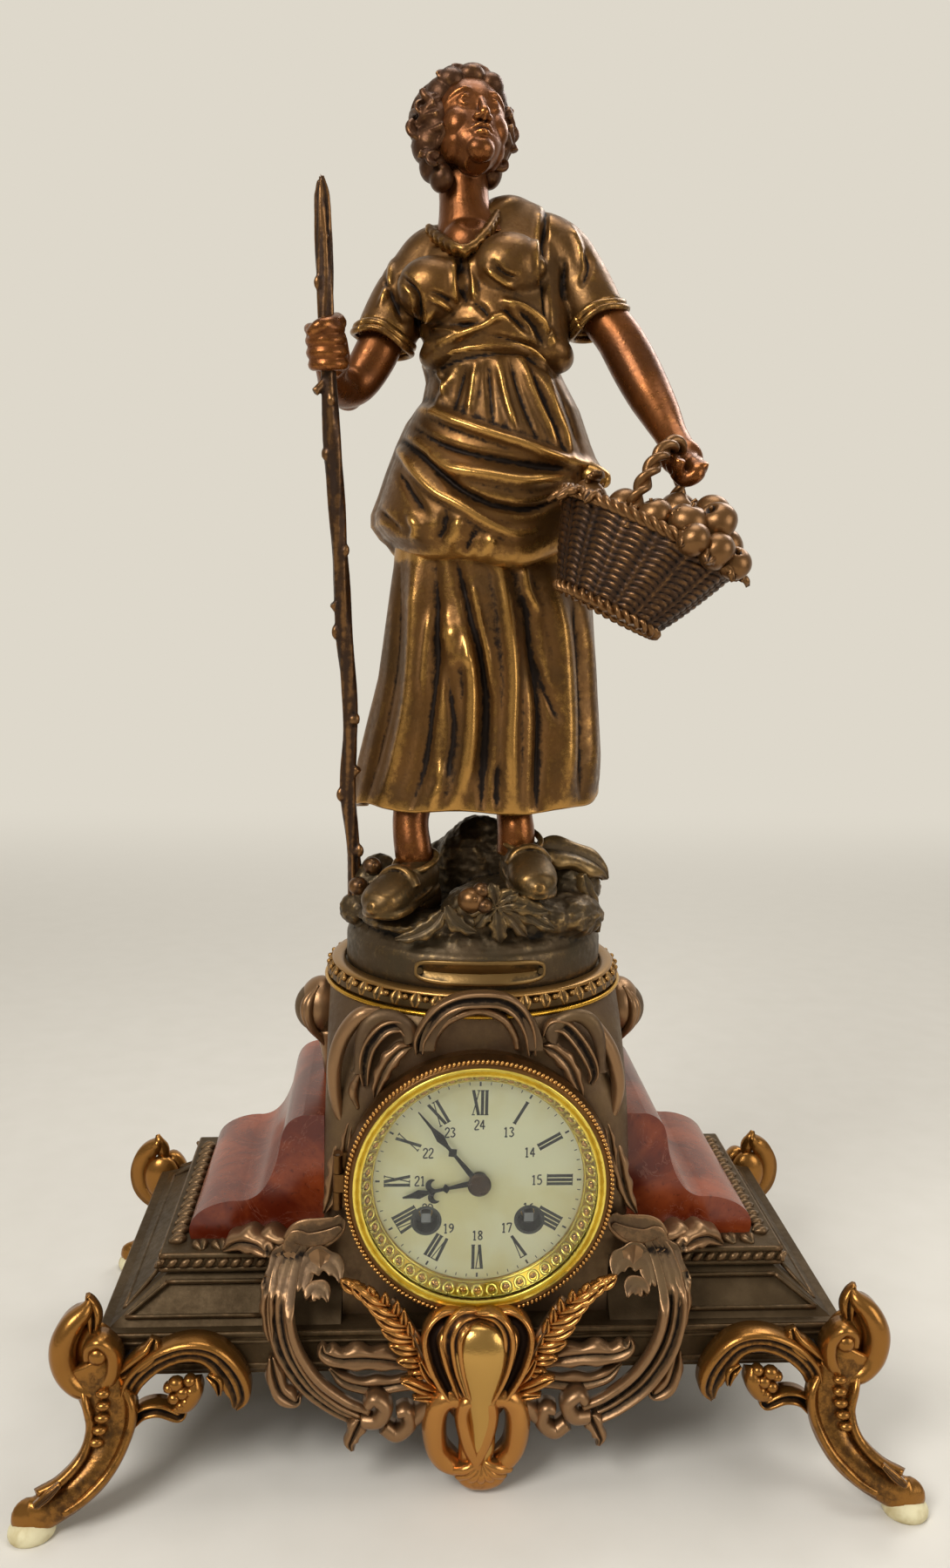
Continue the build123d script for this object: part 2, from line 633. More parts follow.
# Bolts inside the case: marbles, drum case, terrace and figure, each with its nut or head
with BuildPart() as frame_bolts:
    with BuildSketch(Plane.XY.offset(step_underside - nut_height - bolt_tail)):
        with GridLocations(2 * marble_bolt_x, 2 * marble_bolt_y, 2, 2):
            Circle(screw_radius)
    extrude(amount=bolt_tail + nut_height + cast_wall + step_height)
    with BuildSketch(Plane.XY.offset(step_underside - nut_height)):
        with GridLocations(2 * marble_bolt_x, 2 * marble_bolt_y, 2, 2):
            RegularPolygon(nut_radius, 6)
    extrude(amount=nut_height)
    with BuildSketch(Plane.XY.offset(drum_floor)):
        with GridLocations(2 * case_bolt_x, 2 * case_bolt_y, 2, 2):
            Circle(screw_radius)
    extrude(amount=2 * cast_wall - bolt_tail / 2)
    with BuildSketch(Plane.XY.offset(drum_floor - nut_height)):
        with GridLocations(2 * case_bolt_x, 2 * case_bolt_y, 2, 2):
            Circle(nut_radius)
    extrude(amount=nut_height)
    with BuildSketch(Plane.XY.offset(drum_top - cast_wall - nut_height - bolt_tail)):
        Circle(screw_radius)
    extrude(amount=bolt_tail + nut_height + cast_wall + collar_height + terrace_band / 2)
    with BuildSketch(Plane.XY.offset(drum_top - cast_wall - nut_height)):
        RegularPolygon(nut_radius, 6)
    extrude(amount=nut_height)
    for place, sole in ((left_bolt, left_sole), (right_bolt, right_sole)):
        with BuildSketch(Plane.XY.offset(terrace_foot)):
            with Locations(place):
                Circle(screw_radius)
        extrude(amount=sole - terrace_foot + foot_bolt_reach - clearance)
        with BuildSketch(Plane.XY.offset(terrace_foot - screw_head_height)):
            with Locations(place):
                Circle(screw_head_radius)
        extrude(amount=screw_head_height)
save(frame_bolts, "frame_bolts")

# Bare name plate, bent round the band, with its two pins
plaque_foot = terrace_foot + plaque_lift
pin_radius = 1.4
pin_head = 0.8
pin_angle_share = 0.87
plaque_start = pi / 2 + plaque_half_angle * pi / 180
plaque_way = (cos(-plaque_start), sin(-plaque_start), 0)
plaque_plane = Plane(origin=(0, 0, 0), x_dir=plaque_way, z_dir=(plaque_way[1], -plaque_way[0], 0))
with BuildPart() as title_plaque:
    with BuildSketch(plaque_plane):
        with Locations((terrace_radius + plaque_thickness / 2, plaque_foot + plaque_height / 2)):
            Rectangle(plaque_thickness, plaque_height)
    revolve(axis=Axis.Z, revolution_arc=2 * plaque_half_angle)
save(title_plaque, "title_plaque")

with BuildPart() as plaque_pins:
    for side in (-1, 1):
        turn = side * pin_angle_share * plaque_half_angle * pi / 180
        reach = terrace_radius + plaque_thickness
        with BuildSketch(Plane(origin=(reach * sin(turn), -reach * cos(turn), plaque_foot + plaque_height / 2),
                               z_dir=(sin(turn), -cos(turn), 0))):
            Circle(pin_radius)
        extrude(amount=pin_head)
save(plaque_pins, "plaque_pins")

# Staff: knotty stick, slightly crooked, that stands in its socket and passes through the fist.
# Stations: x and y as shares of the lean, height share and thickness share.
staff_height = 300.0
staff_lean_x = -14.0
staff_lean_y = -36.0
staff_radius = 3.6
staff_shares = [(0.0, 0.0, 0.0, 0.85), (0.06, 0.10, 0.07, 0.80), (0.24, 0.22, 0.17, 0.95), (0.18, 0.36, 0.29, 0.90),
                (0.38, 0.50, 0.42, 1.05), (0.52, 0.62, 0.53, 1.0), (0.70, 0.76, 0.66, 1.08), (0.84, 0.86, 0.77, 0.92),
                (0.92, 0.92, 0.88, 0.95), (0.98, 0.97, 0.95, 0.85), (1.0, 1.0, 1.0, 0.35)]


def staff_place(share):
    """Point of the staff's middle line."""
    return (staff_foot_x + share[0] * staff_lean_x, staff_foot_y + share[1] * staff_lean_y,
            staff_foot + share[2] * staff_height)


def staff_stack(extra, mode=Mode.ADD):
    """Loft level circles up the staff, thicker all round by the extra."""
    rings = []
    for share in staff_shares:
        x, y, z = staff_place(share)
        with BuildSketch(Plane.XY.offset(z)) as ring:
            with Locations((x, y)):
                Circle(share[3] * staff_radius + extra)
        rings.append(ring.sketch)
    loft(rings, ruled=True, mode=mode)


with BuildPart() as staff:
    staff_stack(0)
save(staff, "staff")

# Skirt: ruled folds that fan out to the hem, hollow, with a floor that the legs meet.
# Sections: middle x, middle y, half width, half depth, height and fold depth.
fold_count = 13
hem_y = 4.0
fold_depth = 3.4
skirt_sections = [(-1.0, hem_y, 54.0, 41.0, hem_height, fold_depth),
                  (2.0, hem_y, 50.0, 38.0, hem_height + (apron_hem_height - hem_height) / 3, fold_depth * 0.8),
                  (3.5, hem_y / 2, 46.5, 36.0, hem_height + (apron_hem_height - hem_height) * 2 / 3, fold_depth * 0.6),
                  (4.0, hem_y / 2, 45.0, 35.0, apron_hem_height, fold_depth * 0.4)]
skirt_floor = apron_hem_height - 2 * figure_wall


def skirt_stack(inset, top, mode=Mode.ADD):
    """Ruled loft through the skirt's folded sections, drawn in by the inset."""
    rings = []
    for x, y, half_width, half_depth, height, fold in skirt_sections:
        corners = []
        for corner in range(2 * fold_count):
            turn = pi * corner / fold_count
            swell = fold * (1 if corner % 2 else -1) - inset
            corners.append((x + (half_width + swell) * cos(turn), y + (half_depth + swell) * sin(turn)))
        level = min(height, top)
        with BuildSketch(Plane.XY.offset(level)) as ring:
            with BuildLine():
                Polyline(*corners, close=True)
            make_face()
        rings.append(ring.sketch)
    loft(rings, ruled=True, mode=mode)


with BuildPart() as figure_skirt:
    skirt_stack(0, apron_hem_height)
    skirt_stack(figure_wall, skirt_floor, Mode.SUBTRACT)
save(figure_skirt, "figure_skirt")

# Apron and hips: gathered cloth that bulges over the skirt and closes in at the waist
apron_shares = [(3.0, 1.0, 50.0, 39.0, 0.0), (2.0, 0.0, 50.5, 40.0, 0.171), (3.0, 0.0, 48.0, 38.0, 0.39),
                (6.0, -1.0, 45.0, 35.0, 0.61), (6.5, -2.0, 38.0, 30.0, 0.817), (7.0, -3.0, 31.5, 26.0, 1.0)]
apron_sections = [(x, y, half_width, half_depth, apron_hem_height + share * (waist_height - apron_hem_height))
                  for x, y, half_width, half_depth, share in apron_shares]
with BuildPart() as figure_apron:
    oval_stack(apron_sections)
save(figure_apron, "figure_apron")

# Bodice with short sleeves that end in flat cuffs
bodice_sections = [(7.0, -3.0, 31.5, 26.0, waist_height), (5.0, -5.0, 33.5, 29.0, 490.0), (4.0, -7.0, 35.0, 31.0, 504.0),
                   (3.0, -5.0, 36.0, 28.0, 518.0), (2.0, -2.0, 36.0, 22.0, 532.0), (-3.0, -2.0, 19.0, 15.0, bodice_top)]
left_cuff = (-43.0, -5.0, 490.0)
right_cuff = (48.0, -9.0, 497.0)
cuff_radius = 14.0
left_sleeve = [((-18.0, 0.0, 528.0), 15.0), ((-29.0, 0.0, 518.0), 15.5), ((-37.0, -2.0, 503.0), 15.0), (left_cuff, cuff_radius)]
right_sleeve = [((20.0, -1.0, 533.0), 14.0), ((32.0, -1.0, 525.0), 15.5), ((41.0, -5.0, 510.0), 15.5), (right_cuff, cuff_radius)]
with BuildPart() as figure_bodice:
    oval_stack(bodice_sections)
    round_run(left_sleeve, Vector(0, 1, 0))
    round_run(right_sleeve, Vector(0, 1, 0))
save(figure_bodice, "figure_bodice")

# Head with neck and piled hair
head_sections = [(-4.0, -3.0, 13.0, 13.0, bodice_top), (-8.0, -5.0, 11.0, 11.0, 554.0), (-9.0, -6.0, 12.5, 14.0, 562.0),
                 (-10.0, -6.0, 21.0, 20.0, 571.0), (-10.5, -5.0, 23.5, 24.0, 581.0), (-10.0, -4.0, 20.0, 22.0, 592.0),
                 (-8.0, -2.0, 12.0, 13.0, 601.0), (-8.0, -1.0, 4.0, 4.0, figure_top)]
with BuildPart() as figure_head:
    oval_stack(head_sections)
save(figure_head, "figure_head")

# Basket frame: the flared oval tub hangs tilted, its handle a hoop across it
basket_foot = (50.0, -64.0, 374.0)
basket_tilt = 27.0
basket_yaw = -30.0
basket_height = 36.0
basket_wall = 2.4
basket_base = 4.0
basket_foot_half_length = 25.0
basket_foot_half_width = 15.0
basket_rim_half_length = 47.0
basket_rim_half_width = 25.0
basket_up = Vector(sin(basket_tilt * pi / 180), 0, cos(basket_tilt * pi / 180))
basket_along = Vector(1, 0, 0).rotate(Axis.Z, basket_yaw)
basket_along = (basket_along - basket_up * basket_up.dot(basket_along)).normalized()
basket_plane = Plane(origin=basket_foot, x_dir=basket_along, z_dir=basket_up)


handle_radius = 3.2
handle_rise = 36.0
handle_lean = -7.0
handle_front = basket_plane.from_local_coords((0, handle_radius - basket_rim_half_width, basket_height))
handle_rear = basket_plane.from_local_coords((0, basket_rim_half_width - handle_radius, basket_height))
handle_top = basket_plane.from_local_coords((handle_lean, 0, basket_height + handle_rise))

# Arms: bare from the cuffs down, each fist closed round what it holds
fist_height_share = 0.787
fist_middle = staff_place((0.86, 0.87, fist_height_share))
left_arm_run = [(left_cuff, 9.5), ((-51.0, -5.0, 474.0), 9.2), ((-59.0, -10.0, 465.0), 8.6), ((-64.0, -22.0, 467.0), 7.6),
                ((-66.0, -33.0, 473.0), 6.6), ((fist_middle[0], fist_middle[1], fist_middle[2]), 10.0),
                ((fist_middle[0], fist_middle[1] - 9.0, fist_middle[2] + 3.0), 8.0)]
right_arm_run = [(right_cuff, 9.8), ((58.0, -12.0, 482.0), 9.4), ((67.0, -20.0, 470.0), 8.2), ((73.5, -35.0, 458.0), 6.8),
                 ((77.0, -46.0, 450.0), 6.2), ((78.0, -55.0, 443.0), 8.5), ((77.0, -63.0, 436.0), 8.5), ((75.0, -67.0, 430.0), 5.0)]
with BuildPart() as figure_left_arm:
    round_run(left_arm_run, Vector(1, 0, 0), ruled=True)
    add(figure_bodice.part, mode=Mode.SUBTRACT)
    staff_stack(running_fit, Mode.SUBTRACT)
save(figure_left_arm, "figure_left_arm")

with BuildPart() as figure_right_arm:
    round_run(right_arm_run, Vector(1, 0, 0), ruled=True)
    add(figure_bodice.part, mode=Mode.SUBTRACT)
    with BuildLine() as handle_way:
        ThreePointArc(handle_front, handle_top, handle_rear)
    with BuildSketch(Plane(origin=handle_front, z_dir=handle_way.line % 0)) as handle_cut:
        Circle(handle_radius + running_fit)
    sweep(handle_cut.sketch, path=handle_way.line, mode=Mode.SUBTRACT)
save(figure_right_arm, "figure_right_arm")

# Legs and clogs: they stand on the terrace and reach up inside the skirt to its floor.
# Sections: shares of the clog's length along its way, half length, half width and height above the sole.
clog_half_length = 24.0
clog_half_width = 11.0
clog_sections = [(0.0, 1.0, 1.0, 0.0), (0.06, 0.96, 1.06, 11.0), (0.42, 0.60, 1.0, 22.0), (0.74, 0.40, 0.84, 34.0)]
left_clog_middle = (-36.0, -34.0)
left_clog_turn = 63.0
left_knee = (-14.5, 1.0)
right_clog_middle = (19.0, -34.0)
right_clog_turn = 104.0
right_knee = (20.0, 0.0)
calf_radius = 10.0
knee_radius = 11.0
calf_depth_share = 0.96


def clog_stack(middle, turn, knee, sole):
    """Loft one clog, ankle and leg from the sole to the skirt's floor."""
    heel_x = clog_half_length * cos(turn * pi / 180)
    heel_y = clog_half_length * sin(turn * pi / 180)
    ovals = []
    for back_share, length_share, width_share, rise in clog_sections:
        with BuildSketch(Plane.XY.offset(sole + rise)) as oval:
            with Locations((middle[0] + back_share * heel_x, middle[1] + back_share * heel_y)):
                Ellipse(length_share * clog_half_length, width_share * clog_half_width, rotation=turn)
        ovals.append(oval.sketch)
    for share, radius in ((0.35, calf_radius), (1.0, knee_radius)):
        height = sole + clog_sections[-1][3] + share * (skirt_floor - sole - clog_sections[-1][3])
        ankle_x = middle[0] + clog_sections[-1][0] * heel_x
        ankle_y = middle[1] + clog_sections[-1][0] * heel_y
        with BuildSketch(Plane.XY.offset(height)) as oval:
            with Locations((ankle_x + share * (knee[0] - ankle_x), ankle_y + share * (knee[1] - ankle_y))):
                Ellipse(radius, radius * calf_depth_share, rotation=turn)
        ovals.append(oval.sketch)
    loft(ovals, ruled=True)


with BuildPart() as figure_legs:
    for middle, turn, knee, sole, place in ((left_clog_middle, left_clog_turn, left_knee, left_sole, left_bolt),
                                            (right_clog_middle, right_clog_turn, right_knee, right_sole, right_bolt)):
        clog_stack(middle, turn, knee, sole)
        with BuildSketch(Plane.XY.offset(sole)):
            with Locations(place):
                Circle(screw_radius + running_fit)
        extrude(amount=foot_bolt_reach, mode=Mode.SUBTRACT)
save(figure_legs, "figure_legs")

# Basket, handle and fruit
def basket_cone(inset, start, stop, mode=Mode.ADD):
    """Ruled loft of the basket's flare between two shares of its height."""
    ovals = []
    for share in (start, stop):
        half_length = basket_foot_half_length + share * (basket_rim_half_length - basket_foot_half_length)
        half_width = basket_foot_half_width + share * (basket_rim_half_width - basket_foot_half_width)
        with BuildSketch(basket_plane.offset(share * basket_height)) as oval:
            Ellipse(half_length - inset, half_width - inset)
        ovals.append(oval.sketch)
    loft(ovals, ruled=True, mode=mode)


with BuildPart() as basket:
    basket_cone(0, 0, 1)
    basket_cone(basket_wall, basket_base / basket_height, 1, Mode.SUBTRACT)
save(basket, "basket")

with BuildPart() as basket_handle:
    with BuildLine() as hoop:
        ThreePointArc(handle_front, handle_top, handle_rear)
    with BuildSketch(Plane(origin=handle_front, z_dir=hoop.line % 0)) as hoop_section:
        Circle(handle_radius)
    sweep(hoop_section.sketch, path=hoop.line)
    basket_cone(0, 0, 1, Mode.SUBTRACT)
save(basket_handle, "basket_handle")

fruit_radius = 9.0
fruit_shares = [(-0.70, 0.0, 1.04, 0.85), (-0.45, 0.30, 1.02, 0.80), (-0.40, -0.35, 1.0, 0.8), (-0.05, 0.0, 1.0, 0.9),
                (0.30, 0.32, 1.10, 0.95), (0.34, -0.36, 1.08, 0.95), (0.62, 0.0, 1.14, 1.0), (0.92, -0.06, 1.26, 0.78)]
with BuildPart() as basket_fruit:
    basket_cone(basket_wall + clearance, basket_base / basket_height, 0.9)
    fruit_places = [(along * basket_rim_half_length, across * basket_rim_half_width, rise * basket_height)
                    for along, across, rise, size in fruit_shares]
    for (along, across, rise), (_, _, _, size) in zip(fruit_places, fruit_shares):
        with Locations(basket_plane.location * Location((along, across, rise))):
            Sphere(size * fruit_radius)
save(basket_fruit, "basket_fruit")

# Bezel seat: gilt ring on the drum's front that carries the dial, the movement and the hinge
seat_flange_radius = 44.5
knuckle_x = -knuckle_offset
knuckle_y = dial_back - knuckle_radius + clearance
lug_depth = 2.4
with BuildPart() as bezel_seat:
    disc(0, dial_height, seat_radius, drum_front, seat_thickness)
    disc(0, dial_height, seat_flange_radius, front_plate_front, movement_gap)
    for side in (-1, 1):
        low = dial_height + side * (bezel_knuckle_half + clearance)
        lug_length = seat_knuckle_reach - bezel_knuckle_half - clearance
        with BuildSketch(Plane.XY.offset(low)):
            with Locations((knuckle_x, knuckle_y)):
                Circle(knuckle_radius)
            with Locations(((knuckle_x - seat_radius) / 2 + clearance, drum_front - seat_thickness / 2)):
                Rectangle(knuckle_offset - seat_radius + 2 * knuckle_radius, seat_thickness)
        extrude(amount=side * lug_length)
    disc(0, dial_height, seat_bore, front_plate_front + overrun, 2 * overrun + seat_thickness, Mode.SUBTRACT)
    with BuildSketch(Plane.XY.offset(dial_height - seat_knuckle_reach - overrun)):
        with Locations((knuckle_x, knuckle_y)):
            Circle(pivot_radius + running_fit)
    extrude(amount=2 * (seat_knuckle_reach + overrun), mode=Mode.SUBTRACT)
save(bezel_seat, "bezel_seat")


def ring_section(outline):
    """Turn an outline of radius and depth about the dial's axis."""
    with BuildSketch(Plane(origin=(0, 0, dial_height), x_dir=(1, 0, 0), z_dir=(0, 0, 1))) as section:
        with BuildLine():
            Polyline(*outline, close=True)
        make_face()
    revolve(section.sketch, axis=Axis((0, 0, dial_height), (0, 1, 0)))


# Front bezel: moulded ring with its knuckle, its glass and the embossed ring round the dial
bezel_lip = 1.4
sight_gap = 0.3
glass_back = bezel_front + bezel_lip + glass_thickness
sight_front = glass_back
with BuildPart() as front_bezel:
    ring_section([(bezel_bore, bezel_back), (bezel_radius, bezel_back), (bezel_radius, bezel_back - bezel_depth / 3),
                  (bezel_radius - bezel_lip, bezel_front + bezel_lip), (bezel_radius - 2 * bezel_lip, bezel_front),
                  (bezel_bore - bezel_lip, bezel_front), (bezel_bore - bezel_lip, bezel_front + bezel_lip),
                  (bezel_bore, bezel_front + bezel_lip)])
    with BuildSketch(Plane.XY.offset(dial_height - bezel_knuckle_half)):
        with Locations((knuckle_x, knuckle_y)):
            Circle(knuckle_radius)
        with Locations((knuckle_x + knuckle_radius, knuckle_y - knuckle_radius / 2)):
            Rectangle(2 * knuckle_radius, knuckle_radius)
    extrude(amount=2 * bezel_knuckle_half)
    with BuildSketch(Plane.XY.offset(dial_height - seat_knuckle_reach)):
        with Locations((knuckle_x, knuckle_y)):
            Circle(pivot_radius + running_fit)
    extrude(amount=2 * seat_knuckle_reach, mode=Mode.SUBTRACT)
save(front_bezel, "front_bezel")

with BuildPart() as bezel_glass:
    with BuildSketch(Plane(origin=(0, 0, dial_height), x_dir=(1, 0, 0), z_dir=(0, 0, 1))):
        with BuildLine():
            Line((0, glass_back - glass_rise), (0, glass_back - glass_rise - glass_thickness))
            Spline((0, glass_back - glass_rise - glass_thickness), (bezel_bore / 2, glass_back - glass_rise * 0.7 - glass_thickness),
                   (bezel_bore - 2 * bezel_lip, glass_back - glass_thickness))
            Polyline((bezel_bore - 2 * bezel_lip, glass_back - glass_thickness), (bezel_bore, glass_back - glass_thickness),
                     (bezel_bore, glass_back), (bezel_bore - 2 * bezel_lip, glass_back))
            Spline((bezel_bore - 2 * bezel_lip, glass_back), (bezel_bore / 2, glass_back - glass_rise * 0.7),
                   (0, glass_back - glass_rise))
        make_face()
    revolve(axis=Axis((0, 0, dial_height), (0, 1, 0)))
save(bezel_glass, "bezel_glass")

sight_inner_radius = 44.8
sight_flat = 2.0
with BuildPart() as sight_ring:
    ring_section([(sight_inner_radius, dial_front - sight_gap), (sight_inner_radius + sight_flat, dial_front - sight_gap),
                  (bezel_bore, sight_front + sheet), (bezel_bore, sight_front), (bezel_bore - sheet, sight_front),
                  (sight_inner_radius, dial_front - sight_gap - sheet)])
save(sight_ring, "sight_ring")

# Dial plate with its centre hole and two winding holes
with BuildPart() as dial:
    disc(0, dial_height, dial_radius, dial_back, dial_thickness)
    disc(0, dial_height, dial_centre_hole, dial_back + overrun, 2 * overrun, Mode.SUBTRACT)
    for side in (-1, 1):
        disc(side * winding_reach_x, winding_height, winding_hole_radius, dial_back + overrun, 2 * overrun, Mode.SUBTRACT)
save(dial, "dial")

# Movement plates and pillars
minute_drop = 14.0
minute_post_height = dial_height - minute_drop
third_x = 14.0
third_height = 148.0
escape_height = 160.0
hammer_arbor_radius = 1.5
pillar_turns = (32.0, 148.0, 258.0, 282.0)
pillar_places = [(pillar_circle * cos(turn * pi / 180), dial_height + pillar_circle * sin(turn * pi / 180))
                 for turn in pillar_turns]
barrel_arbor_radius = 2.4
pivot_holes = [(0, dial_height, arbor_radius), (third_x, third_height, pivot_radius), (0, escape_height, pivot_radius),
               (0, anchor_height, pivot_radius), (-winding_reach_x, winding_height, barrel_arbor_radius),
               (winding_reach_x, winding_height, barrel_arbor_radius)]
bell_post_x = 26.0
bell_post_height = 158.0
for name, front, extra_holes in (
    ("front_plate", front_plate_front, [(0, minute_post_height, pivot_radius)]),
    ("back_plate", back_plate_front, [(hammer_pivot_x, hammer_pivot_height, hammer_arbor_radius)]),
):
    with BuildPart() as plate:
        disc(0, dial_height, plate_radius, front + plate_thickness, plate_thickness)
        for x, z, radius in pivot_holes + extra_holes:
            disc(x, z, radius + running_fit, front + plate_thickness + overrun, 2 * overrun, Mode.SUBTRACT)
    save(plate, name)

with BuildPart() as plate_pillars:
    for x, z in pillar_places:
        disc(x, z, pillar_radius, back_plate_front, plate_gap)
save(plate_pillars, "plate_pillars")

# Two long straps clamp the movement between the bezel seat and the rear ring
strap_radius = 1.6
strap_x = drum_opening_radius - strap_radius - clearance
with BuildPart() as movement_straps:
    for side in (-1, 1):
        disc(side * strap_x, dial_height, strap_radius, drum_back, drum_back - drum_front)
save(movement_straps, "movement_straps")

# Spring barrels on their winding arbors: squares behind the dial's holes
wheel_thickness = 1.6
barrel_front = front_plate_back + 3 * wheel_thickness + clearance
barrel_back = barrel_front + barrel_depth
square_front = dial_back + sheet
for side, name in ((1, "going"), (-1, "strike")):
    with BuildPart() as barrel:
        disc(side * winding_reach_x, winding_height, barrel_radius, barrel_back, barrel_depth)
        toothed_wheel(side * winding_reach_x, winding_height, great_wheel_teeth, great_wheel_radius,
                      barrel_back + wheel_thickness, wheel_thickness)
        disc(side * winding_reach_x, winding_height, barrel_arbor_radius + running_fit, barrel_back + overrun,
             barrel_depth + 2 * overrun, Mode.SUBTRACT)
    save(barrel, f"{name}_barrel")
    with BuildPart() as arbor:
        disc(side * winding_reach_x, winding_height, barrel_arbor_radius, back_plate_back,
             back_plate_back - front_plate_front + clearance)
        with BuildSketch(facing(front_plate_front)):
            with Locations((side * winding_reach_x, winding_height)):
                Rectangle(square_side, square_side)
        extrude(amount=front_plate_front - square_front)
    save(arbor, f"{name}_arbor")

# Going train: centre wheel on the minute arbor, third wheel and escape wheel
centre_teeth = 60
third_pinion_leaves = 10
third_teeth = 60
escape_pinion_leaves = 10
escape_teeth = 24
centre_distance = (third_x ** 2 + (third_height - dial_height) ** 2) ** 0.5
third_distance = (third_x ** 2 + (escape_height - third_height) ** 2) ** 0.5
centre_radius = centre_distance * centre_teeth / (centre_teeth + third_pinion_leaves)
third_pinion_radius = centre_distance - centre_radius
third_radius = third_distance * third_teeth / (third_teeth + escape_pinion_leaves)
escape_pinion_radius = third_distance - third_radius
centre_wheel_back = back_plate_front - clearance
third_wheel_back = front_plate_back + 2 * wheel_thickness + clearance
escape_wheel_back = barrel_back - 2 * wheel_thickness
escape_radius = 8.0
to_third_turn = atan2(third_height - dial_height, third_x) / (2 * pi)
to_escape_turn = atan2(escape_height - third_height, -third_x) / (2 * pi)


def meshing_phase(teeth, mate_turn):
    """Phase that sets a gap of this wheel towards its mate, which shows it a tooth."""
    return (0.5 + (mate_turn * teeth)) % 1


# Motion work under the dial
cannon_teeth = 12
minute_wheel_teeth = 36
minute_pinion_leaves = 10
hour_wheel_teeth = 40
cannon_radius = minute_drop * cannon_teeth / (cannon_teeth + minute_wheel_teeth)
minute_wheel_radius = minute_drop - cannon_radius
hour_wheel_radius = minute_drop * hour_wheel_teeth / (hour_wheel_teeth + minute_pinion_leaves)
minute_pinion_radius = minute_drop - hour_wheel_radius
motion_wheel = 1.2
minute_wheel_back = front_plate_front - clearance - motion_wheel / 2
minute_wheel_front = minute_wheel_back - motion_wheel
hour_wheel_back = minute_wheel_front - motion_wheel / 2
hour_wheel_front = hour_wheel_back - motion_wheel
cannon_tube_radius = 2.3
hour_tube_bore = cannon_tube_radius + running_fit
hour_tube_radius = 3.4
hand_thickness = 0.6
hour_hand_back = dial_front - sheet
minute_hand_back = hour_hand_back - 2 * sheet

# Hands: a lozenge head and a small collar on a slim stem, the hour hand with two crescent wings too.
# Shares of the hand's length along it, and of its head's half width across it.
minute_reach = 41.4
hour_reach = 33.0
head_half_width = 1.9
minute_angle = 90 - 321
hour_angle = 90 - 258
minute_edge_shares = [(0.0, 0.75), (0.40, 0.35), (0.44, 1.2), (0.48, 0.35), (0.53, 0.40), (0.64, 1.0),
                      (0.77, 0.35), (1.0, 0.12)]
hour_edge_shares = [(0.0, 0.75), (0.39, 0.35), (0.43, 1.1), (0.47, 0.35), (0.66, 0.40), (0.79, 1.0),
                    (0.88, 0.50), (1.0, 0.12)]
hand_hub_radius = 4.2
minute_hub_radius = 3.0
crescent_outer = 5.4
crescent_inner = 4.2
crescent_reach_share = 0.60


def hand_blade(reach, angle, back, edge_shares):
    """Slim hand from the centre outwards, at an angle turned up from the X axis."""
    upper = [(along * reach, across * head_half_width) for along, across in edge_shares]
    lower = [(x, -y) for x, y in reversed(upper)]
    turned = (cos(angle * pi / 180), 0, sin(angle * pi / 180))
    plane = Plane(origin=(0, back, dial_height), x_dir=turned, z_dir=(0, -1, 0))
    with BuildSketch(plane) as blade:
        with BuildLine():
            Polyline(*upper, *lower, close=True)
        make_face()
    extrude(blade.sketch, amount=hand_thickness)
    return plane


with BuildPart() as minute_arbor:
    disc(0, dial_height, arbor_radius, back_plate_back, back_plate_back - front_plate_front + clearance)
    disc(0, dial_height, cannon_tube_radius, front_plate_front - clearance, front_plate_front - clearance - minute_hand_back)
    toothed_wheel(0, dial_height, centre_teeth, centre_radius, centre_wheel_back, wheel_thickness)
    toothed_wheel(0, dial_height, cannon_teeth, cannon_radius, minute_wheel_back + motion_wheel / 2, 1.5 * motion_wheel)
save(minute_arbor, "minute_arbor")

with BuildPart() as minute_hand:
    disc(0, dial_height, minute_hub_radius, minute_hand_back, hand_thickness)
    hand_blade(minute_reach, minute_angle, minute_hand_back, minute_edge_shares)
save(minute_hand, "minute_hand")

hand_nut_radius = 5.0
hand_nut_depth = 1.4
with BuildPart() as hand_nut:
    disc(0, dial_height, hand_nut_radius, minute_hand_back - hand_thickness, hand_nut_depth)
    chamfer(hand_nut.faces().sort_by(Axis.Y)[0].edges(), hand_nut_depth / 2)
save(hand_nut, "hand_nut")

with BuildPart() as minute_wheel:
    toothed_wheel(0, minute_post_height, minute_wheel_teeth, minute_wheel_radius, minute_wheel_back, motion_wheel,
                  meshing_phase(minute_wheel_teeth, 0.25))
    toothed_wheel(0, minute_post_height, minute_pinion_leaves, minute_pinion_radius, minute_wheel_front,
                  2 * motion_wheel)
    disc(0, minute_post_height, pivot_radius, front_plate_back, front_plate_back - hour_wheel_front + motion_wheel / 2)
save(minute_wheel, "minute_wheel")

with BuildPart() as hour_wheel:
    toothed_wheel(0, dial_height, hour_wheel_teeth, hour_wheel_radius, hour_wheel_back, motion_wheel)
    disc(0, dial_height, hour_tube_radius, hour_wheel_back, hour_wheel_back - hour_hand_back)
    disc(0, dial_height, hour_tube_bore, hour_wheel_back + overrun, 2 * overrun, Mode.SUBTRACT)
save(hour_wheel, "hour_wheel")

